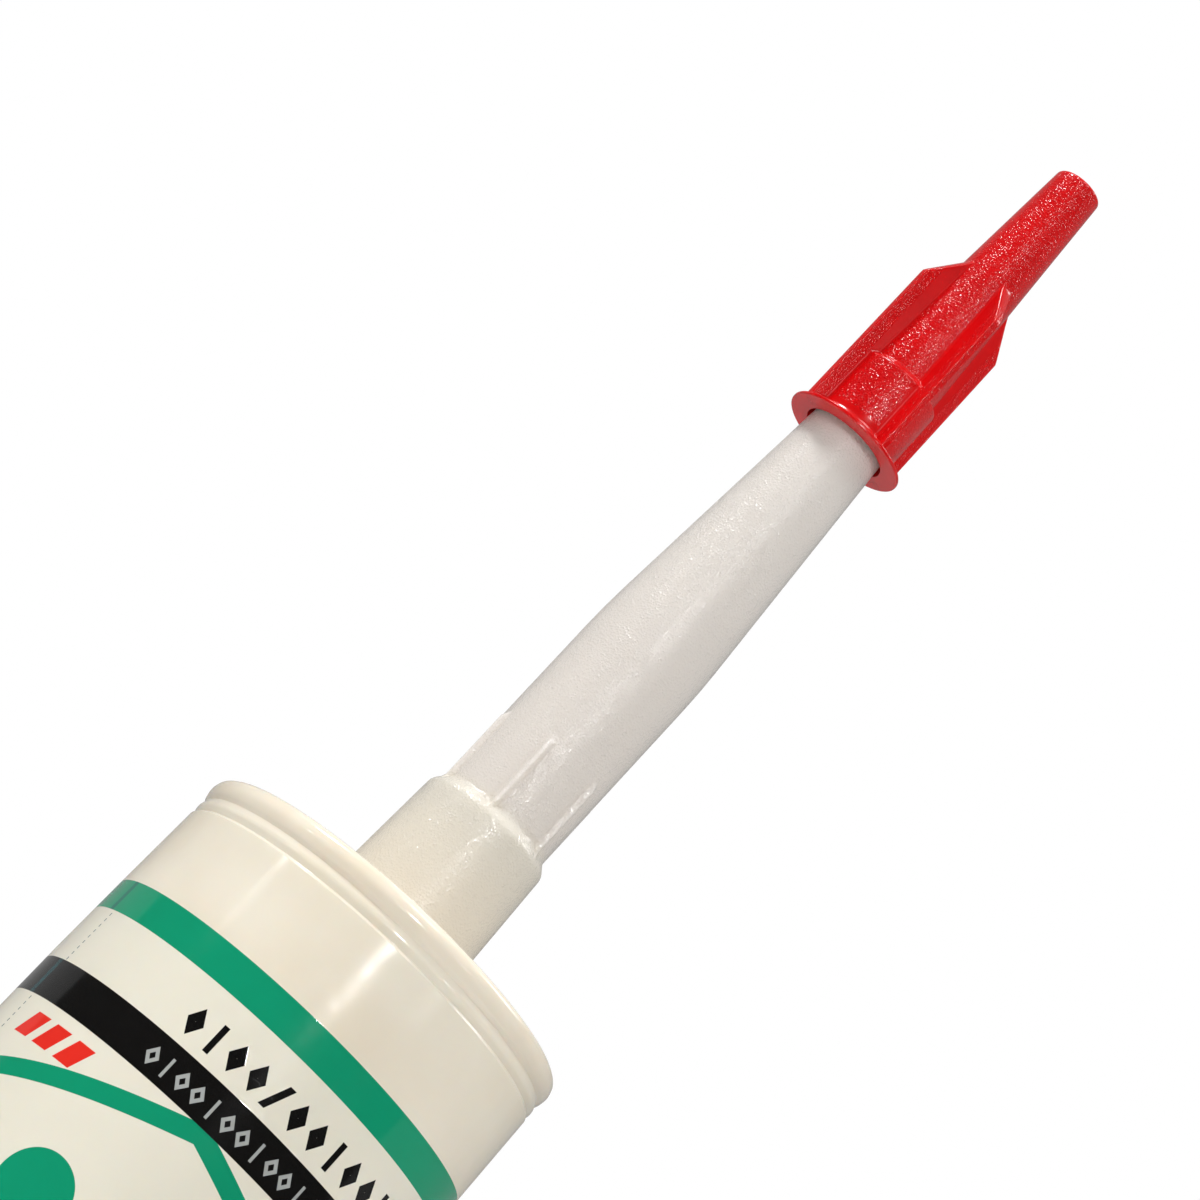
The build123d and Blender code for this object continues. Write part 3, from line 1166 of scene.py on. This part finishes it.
@dataclass(frozen=True)
class Nozzle:
    """The nozzle: threaded skirt, rounded step, ribbed throat and long cone."""

    levels: Levels
    skirt: float = 8.8
    skirt_top: float = 8.15
    skirt_bore: float = 7.3
    skirt_length: float = 16.2
    shoulder: float = 1.3
    bore_length: float = 14.5
    throat: float = 7.15
    throat_length: float = 42.66
    blend: float = 85.0
    tip: float = 2.24
    tip_wall: float = 0.75
    wall: float = 1.15
    rib_count: int = 6
    rib_turn: float = -10.0
    rib_height: float = 0.5
    rib_half_width: float = 0.68
    rib_length: float = 25.5
    rib_columns: tuple = (0.0, 0.09, 0.18, 0.27, 0.36, 0.45, 0.54, 0.7)
    between_columns: int = 22

    def angles(self) -> list[float]:
        """Angles of the columns, closer together over the ribs."""
        found: list[float] = []
        spread = [math.degrees(off / self.throat) for off in self.rib_columns]
        gap = 360 / self.rib_count - 2 * spread[-1]
        for index in range(self.rib_count):
            middle = self.rib_turn + index * 360 / self.rib_count
            found += [middle - off for off in reversed(spread[1:])]
            found += [middle + off for off in spread]
            found += [
                middle + spread[-1] + gap * step / self.between_columns
                for step in range(1, self.between_columns)
            ]
        return found

    def corners(self) -> list[Corner]:
        """The outline from the skirt's foot over the tip and back inside."""
        seat, tip = self.levels.seat, self.levels.nozzle_tip
        step, inside = seat + self.skirt_length, seat + self.bore_length
        bend = seat + self.throat_length
        return [
            Corner(self.skirt_bore, seat, 0.2),
            Corner(self.skirt, seat, 0.25),
            Corner(self.skirt_top, step - self.shoulder, 1.3, 2.5),
            Corner(self.throat, step, 1.0),
            Corner(self.throat, bend, self.blend, 0.6),
            Corner(self.tip, tip, 0.2, 2.5),
            Corner(self.tip - self.tip_wall, tip, 0.15),
            Corner(self.throat - self.wall, bend, self.blend),
            Corner(self.throat - self.wall, inside + 1.0, 0.4),
            Corner(self.skirt_bore, inside, 0.3, 0.6),
        ]

    def rib(self, height: float, angle: float) -> float:
        """How far the ribs stand out of the throat.

        Args:
            height: height of the point.
            angle: angle of the point.

        Returns:
            The radial distance to add.
        """
        pitch = 360 / self.rib_count
        turn = (angle - self.rib_turn + pitch / 2) % pitch - pitch / 2
        off = abs(math.radians(turn)) * self.throat
        ridge = 1 - smooth_step(off, 0.05, self.rib_half_width)
        top = self.levels.seat + self.rib_length
        ends = 1 - smooth_step(height, top - 0.6, top + 0.6)
        return self.rib_height * ridge * ends

    def build(self) -> bpy.types.Object:
        """Builds the nozzle with ribs outside and the thread's ridge inside."""
        seat = self.levels.seat
        thread = Thread(
            foot=seat + 0.6, turns=4.4, pitch=2.6, width=1.2, tip=0.4, depth=-0.2
        )
        step, inside = seat + self.skirt_length, seat + self.bore_length
        points = outline(self.corners())
        bore_rows = [
            (self.skirt_bore, inside - 0.35 - index * THREAD_ROW)
            for index in range(int((self.bore_length - 0.7) / THREAD_ROW))
        ]
        points = [
            point
            for point in points
            if not (abs(point[0] - self.skirt_bore) < 0.01 and seat + 0.3 < point[1] < inside - 0.31)
        ]
        points += bore_rows

        def shape(radius: float, height: float, angle: float) -> float:
            """Adds the ribs outside and the thread inside."""
            if abs(radius - self.skirt_bore) < 0.01:
                return radius + thread.lift(height, angle)
            if step - self.shoulder < height < step + 12 and radius >= self.throat - 0.05:
                return max(radius, self.throat + self.rib(height, angle))
            return radius

        angles = self.angles()
        return skin("nozzle_shell", [turned_ring(r, z, angles, shape) for r, z in points])

    def dress(self, piece: bpy.types.Object, effects: Effects) -> None:
        """Gives the nozzle its plastic and its place in the frame."""
        step = self.levels.seat + self.skirt_length
        piece.data.materials.append(NozzlePlastic().build(effects, step))
        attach(piece, "nozzle")
        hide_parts("nozzle")


@dataclass(frozen=True)
class Cap:
    """The cap: flared flange, sleeve, stepped cone with closed tip, and four fins."""

    levels: Levels
    mouth: float = 5.34
    flange: float = 7.75
    flange_edge: float = 0.45
    flare: float = 1.9
    sleeve: float = 5.72
    sleeve_length: float = 9.2
    cone: float = 4.87
    tip: float = 3.03
    bore: float = 4.86
    bore_end: float = 2.34
    end_wall: float = 2.05
    fin_count: int = 4
    fin_turn: float = 28.5
    fin: float = 7.6
    fin_draft: float = 0.1
    fin_corner: float = 20.7
    fin_slope: float = 0.7
    fin_root: float = 0.74
    fin_edge: float = 0.475
    fin_fillet: float = 0.35
    edge_fillet: float = 0.16
    fin_fade: float = 0.8
    least_body: float = 3.6
    between_columns: int = 26
    grain_foot: float = 2.3
    grain_margin: float = 1.22

    def corners(self) -> list[Corner]:
        """The outline from the mouth over the closed tip and back inside."""
        foot, top = self.levels.cap_foot, self.levels.cap_top
        step = foot + self.sleeve_length
        return [
            Corner(self.mouth, foot, 0.1),
            Corner(self.flange, foot, 0.18),
            Corner(self.flange, foot + self.flange_edge, 0.15),
            Corner(self.sleeve + 0.02, foot + self.flange_edge + 0.22, self.flare, 0.3),
            Corner(self.sleeve - 0.04, step, 0.2, 0.5),
            Corner(self.cone, step + 0.7, 0.25, 0.2),
            Corner(self.tip, top, 0.45, 0.4),
            Corner(0, top),
            Corner(0, top - self.end_wall),
            Corner(self.bore_end, top - self.end_wall, 0.2),
            Corner(self.bore, foot + 3.2, 0.5),
        ]

    def fin_reach(self, height: float) -> float:
        """Radius of the fins' outer edge at a height."""
        up = height - self.levels.cap_foot
        upright = self.fin - self.fin_draft * up / self.fin_corner
        sloped = self.fin - self.fin_draft - (up - self.fin_corner) * self.fin_slope
        blend = 0.12
        share = max(0.0, blend - abs(upright - sloped)) / blend
        return min(upright, sloped) - share * share * blend / 4

    def half_width(self, radius: float) -> float:
        """Half the fin's thickness at a radius."""
        share = (radius - self.cone) / (self.fin - self.cone)
        return self.fin_root + (self.fin_edge - self.fin_root) * share

    def half_section(self, radius: float, reach: float) -> list[Point]:
        """Half of a fin's section, from its middle to beyond its root fillet.

        Args:
            radius: radius of the cap's body at this height.
            reach: radius of the fin's edge, which may be inside the body.

        Returns:
            Points as (outward, sideways) from the axis, always equally many.
        """
        stand = max(0.0, reach - radius)
        soft = min(1.0, stand / self.fin_fade)
        edge, root = self.edge_fillet * soft, self.fin_fillet * soft
        points: list[Point] = []
        side = self.half_width(radius + stand)
        for share in (0.0, 0.5, 1.0):
            across = (side - edge) * share
            points.append((math.sqrt((radius + stand) ** 2 - across**2), across))
        for step in range(1, 5):
            turn = math.radians(90 * step / 4)
            across = side - edge + edge * math.sin(turn)
            out = math.sqrt((radius + stand) ** 2 - across**2) - edge * (1 - math.cos(turn))
            points.append((out, across))
        low = math.sqrt(radius**2 - self.half_width(radius) ** 2) + root
        high = points[-1][0]
        for step in range(1, 7):
            out = high + (low - high) * step / 6
            points.append((out, self.half_width(out) if stand > 0 else side))
        for step in range(1, 6):
            turn = math.radians(90 * step / 5)
            across = self.half_width(low) + root * (1 - math.cos(turn))
            floor = math.sqrt(max(0.0, radius**2 - across**2))
            points.append((floor + root * (1 - math.sin(turn)), across))
        return points

    def ring(self, radius: float, height: float, finned: bool) -> Ring:
        """One ring of the cap.

        Args:
            radius: radius of the body.
            height: height of the ring.
            finned: whether fins may stand out of it.

        Returns:
            The ring's points.
        """
        reach = self.fin_reach(height) if finned else 0.0
        base = max(radius, self.least_body)
        half = self.half_section(base, max(reach, 0.0))
        if base != radius:
            half = [(out * radius / base, across * radius / base) for out, across in half]
        polar = [(math.hypot(*point), math.degrees(math.atan2(point[1], point[0]))) for point in half]
        widest = polar[-1][1]
        gap = 360 / self.fin_count - 2 * widest
        ring: Ring = []
        for index in range(self.fin_count):
            middle = self.fin_turn + index * 360 / self.fin_count
            line = [(away, middle - turn) for away, turn in reversed(polar[1:])]
            line += [(away, middle + turn) for away, turn in polar]
            line += [
                (radius, middle + widest + gap * step / self.between_columns)
                for step in range(1, self.between_columns)
            ]
            for away, turn in line:
                angle = math.radians(turn)
                ring.append((away * math.sin(angle), -away * math.cos(angle), height))
        return ring

    def build(self) -> bpy.types.Object:
        """Builds the cap."""
        foot, top = self.levels.cap_foot, self.levels.cap_top
        rings: list[Ring] = []
        outside = True
        for radius, height in outline(self.corners(), 9.0):
            if height > top - 0.001 and radius < 0.5:
                outside = False
            finned = outside and height > foot + 0.05
            rings.append(self.ring(radius, height, finned))
        return skin("cap_shell", rings)

    def grained(self, graph: Graph, effects: Effects) -> bpy.types.NodeSocket:
        """Where the mould's grain shows: fields between the fins, and the fins' flanks.

        Args:
            graph: the material's graph.
            effects: the shared effects.

        Returns:
            The mask of the grained fields.
        """
        place = graph.use(effects.place)
        quarter = 360 / self.fin_count
        turn = graph.math(
            "PINGPONG", graph.math("ADD", place.outputs["Angle"], 360 - self.fin_turn), quarter / 2
        )
        off = graph.math(
            "MULTIPLY", place.outputs["Radius"], graph.math("SINE", graph.math("RADIANS", turn))
        )
        foot = self.levels.cap_foot

        band = partial(effects.within, graph)
        height, radius = place.outputs["Height"], place.outputs["Radius"]
        step, top = foot + self.sleeve_length, self.levels.cap_top - 0.25
        on_sleeve = graph.product(
            band(height, (foot + self.grain_foot, step - 0.1), 0.12),
            band(off, (self.grain_margin, 20.0), 0.12),
        )
        on_cone = graph.product(
            band(height, (step + 0.45, top), 0.12),
            band(off, (self.grain_margin - 0.25, 20.0), 0.12),
        )
        above_fins = band(height, (foot + self.fin_corner + 5.2, top), 0.4)
        on_flank = graph.product(
            band(radius, (self.sleeve + 0.35, self.fin - 0.35), 0.12),
            band(off, (0.0, self.fin_root + 0.1), 0.12),
        )
        on_edge = graph.product(
            band(radius, (self.fin - 0.22, self.fin + 0.1), 0.06),
            band(height, (foot + 1.5, foot + self.fin_corner + 0.5), 0.12),
        )
        return graph.largest(on_sleeve, on_cone, above_fins, on_flank, on_edge)

    def dress(self, piece: bpy.types.Object, effects: Effects) -> None:
        """Gives the cap its plastic and its place in the frame."""
        piece.data.materials.append(CapPlastic().build(effects, self))
        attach(piece, "cap")
        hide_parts("nozzle_cap")


@dataclass(frozen=True)
class Fill:
    """The sealant column inside the barrel."""

    levels: Levels
    radius: float = 23.0
    keep: float = 0.002

    def build(self) -> bpy.types.Object:
        """Builds the column with rounded ends."""
        low, high = self.levels.fill_foot, self.levels.fill_top
        corners = [
            Corner(0, low),
            Corner(self.radius, low, 1.2),
            Corner(self.radius, high, 1.5, 12.0),
            Corner(0, high),
        ]
        angles = even_angles(96)
        rings = [turned_ring(r, z, angles, plain_round) for r, z in outline(corners)]
        return skin("sealant_column", rings)

    def dress(self, piece: bpy.types.Object, effects: Effects) -> None:
        """Gives the fill its paste and ties it to the barrel."""
        piece.data.materials.append(SealantPaste().build(effects))
        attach(piece, "barrel")
        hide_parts("sealant")
        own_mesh(piece)


# --- studio -------------------------------------------------------------------------------------


@dataclass(frozen=True)
class Viewpoint:
    """The camera: close to the tube's axis height, looking up a little and rolled.

    Args:
        distance: distance in front of the axis.
        height: height of the lens.
        aim_across: where its middle ray crosses the axis plane, along X.
        aim_height: where its middle ray crosses the axis plane, along Z.
        roll: turn about its own middle ray.
        lens: focal length for a 36 mm sensor.
    """

    distance: float = 456.97
    height: float = 129.14
    aim_across: float = -7.94
    aim_height: float = 259.8
    roll: float = 43.1
    lens: float = 128.8

    def place(self) -> None:
        """Makes the camera."""
        data = bpy.data.cameras.new("camera")
        data.lens = self.lens
        data.clip_start = 0.01
        data.clip_end = 20.0
        camera = bpy.data.objects.new("camera", data)
        place = Vector((0, -self.distance, self.height))
        aim = Vector((self.aim_across, 0, self.aim_height))
        level = (aim - place).to_track_quat("-Z", "Y").to_matrix().to_4x4()
        turn = Matrix.Rotation(math.radians(self.roll), 4, "Z")
        camera.matrix_world = Matrix.Translation(place * MM) @ level @ turn
        bpy.context.scene.collection.objects.link(camera)
        bpy.context.scene.camera = camera


@dataclass(frozen=True)
class Lamp:
    """An area light that faces the tube.

    Args:
        name: its name.
        azimuth: direction from the tube, from the front towards +X.
        elevation: height of that direction above the horizon.
        distance: distance from the tube in metres.
        size: edge of its square in metres.
        power: its power in watts.
    """

    name: str
    azimuth: float
    elevation: float
    distance: float
    size: float
    power: float

    def place(self, target: Vector) -> None:
        """Makes the light, facing the target."""
        data = bpy.data.lights.new(self.name, "AREA")
        data.size = self.size
        data.energy = self.power
        turn, rise = math.radians(self.azimuth), math.radians(self.elevation)
        away = Vector(
            (math.sin(turn) * math.cos(rise), -math.cos(turn) * math.cos(rise), math.sin(rise))
        )
        lamp = bpy.data.objects.new(self.name, data)
        lamp.location = target + away * self.distance
        lamp.rotation_mode = "QUATERNION"
        lamp.rotation_quaternion = (-away).to_track_quat("-Z", "Y")
        bpy.context.scene.collection.objects.link(lamp)


@dataclass(frozen=True)
class Studio:
    """Soft lamps over a pale floor, in a room that is dark in front and pale behind and aside.

    Args:
        target: what the lamps face.
        front: brightness of the room in front.
        behind: brightness of the room behind and at the sides.
        above: brightness of its ceiling.
        skew: turn of the edge between front and behind, as a slope.
        floor_size: edge of the floor in metres.
    """

    target: Vector
    front: float = 0.07
    behind: float = 0.34
    above: float = 0.25
    skew: float = 0.37
    floor_size: float = 1.6

    def build(self) -> None:
        """Builds floor, world and lamps."""
        self.make_floor()
        self.make_world()
        for lamp in (
            Lamp("key", azimuth=5.0, elevation=17.0, distance=1.0, size=0.03, power=3.4),
            Lamp("side", azimuth=-66.0, elevation=14.0, distance=1.0, size=0.02, power=0.15),
            Lamp("wide", azimuth=40.0, elevation=18.0, distance=1.0, size=0.1, power=0.5),
            Lamp("front_top", azimuth=8.0, elevation=60.0, distance=1.6, size=0.5, power=5.0),
            Lamp("left_top", azimuth=-76.0, elevation=52.0, distance=1.6, size=0.3, power=19.0),
            Lamp("right_back", azimuth=102.0, elevation=55.0, distance=1.6, size=0.5, power=6.5),
        ):
            lamp.place(self.target)

    def make_floor(self) -> None:
        """Makes the plain pale floor, which can be looked through from below."""
        half = self.floor_size / 2
        mesh = bpy.data.meshes.new("floor")
        mesh.from_pydata(
            [(-half, -half, 0), (half, -half, 0), (half, half, 0), (-half, half, 0)], [], [(0, 1, 2, 3)]
        )
        floor = bpy.data.objects.new("floor", mesh)
        bpy.context.scene.collection.objects.link(floor)
        graph, shader, material = plastic("floor_paper", roughness=0.8)
        shader.inputs["Base Color"].default_value = (0.66, 0.66, 0.65, 1)
        clear = graph.add("ShaderNodeBsdfTransparent").outputs[0]
        under = graph.add("ShaderNodeNewGeometry").outputs["Backfacing"]
        one_sided = graph.add("ShaderNodeMixShader", {0: under, 1: shader.outputs[0], 2: clear})
        output = material.node_tree.nodes["Material Output"]
        graph.feed(output.inputs["Surface"], one_sided.outputs[0])
        mesh.materials.append(material)

    def make_world(self) -> None:
        """Makes the room, which is plain white where the eye sees it directly."""
        world = bpy.data.worlds.new("studio")
        bpy.context.scene.world = world
        world.use_nodes = True
        graph = Graph(world.node_tree)
        background = world.node_tree.nodes["Background"]
        direction = graph.add("ShaderNodeTexCoord").outputs["Generated"]
        x, y, z = graph.add("ShaderNodeSeparateXYZ", {0: direction}).outputs
        edge = graph.math("MULTIPLY_ADD", x, self.skew, y)
        around = graph.ramp(edge, -0.02, 0.02, self.front, self.behind)
        room = graph.ramp(z, 0.45, 0.65, around, self.above)
        seen = graph.add("ShaderNodeLightPath").outputs["Is Camera Ray"]
        background.inputs["Color"].default_value = (1, 1, 1, 1)
        graph.feed(background.inputs["Strength"], graph.math("MAXIMUM", room, seen))


def main() -> None:
    """Builds the tube and its studio."""
    logging.basicConfig(level=logging.INFO, format="%(message)s")
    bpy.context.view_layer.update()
    bpy.context.scene.view_settings.view_transform = "Standard"
    levels = Levels.read()
    effects = make_effects()
    for maker in (Barrel(levels), Nozzle(levels), Cap(levels), Fill(levels)):
        piece = maker.build()
        maker.dress(piece, effects)
        log.info("%s: %d faces", piece.name, len(piece.data.polygons))
    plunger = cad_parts["plunger"]
    plunger.data.materials.clear()
    plunger.data.materials.append(PlungerPlastic().build(effects))
    log.info("%s: packed mesh, new finish", plunger.name)
    Studio(target=Vector((0, 0, levels.seat * MM))).build()
    Viewpoint().place()


if __name__ == "__main__":
    main()
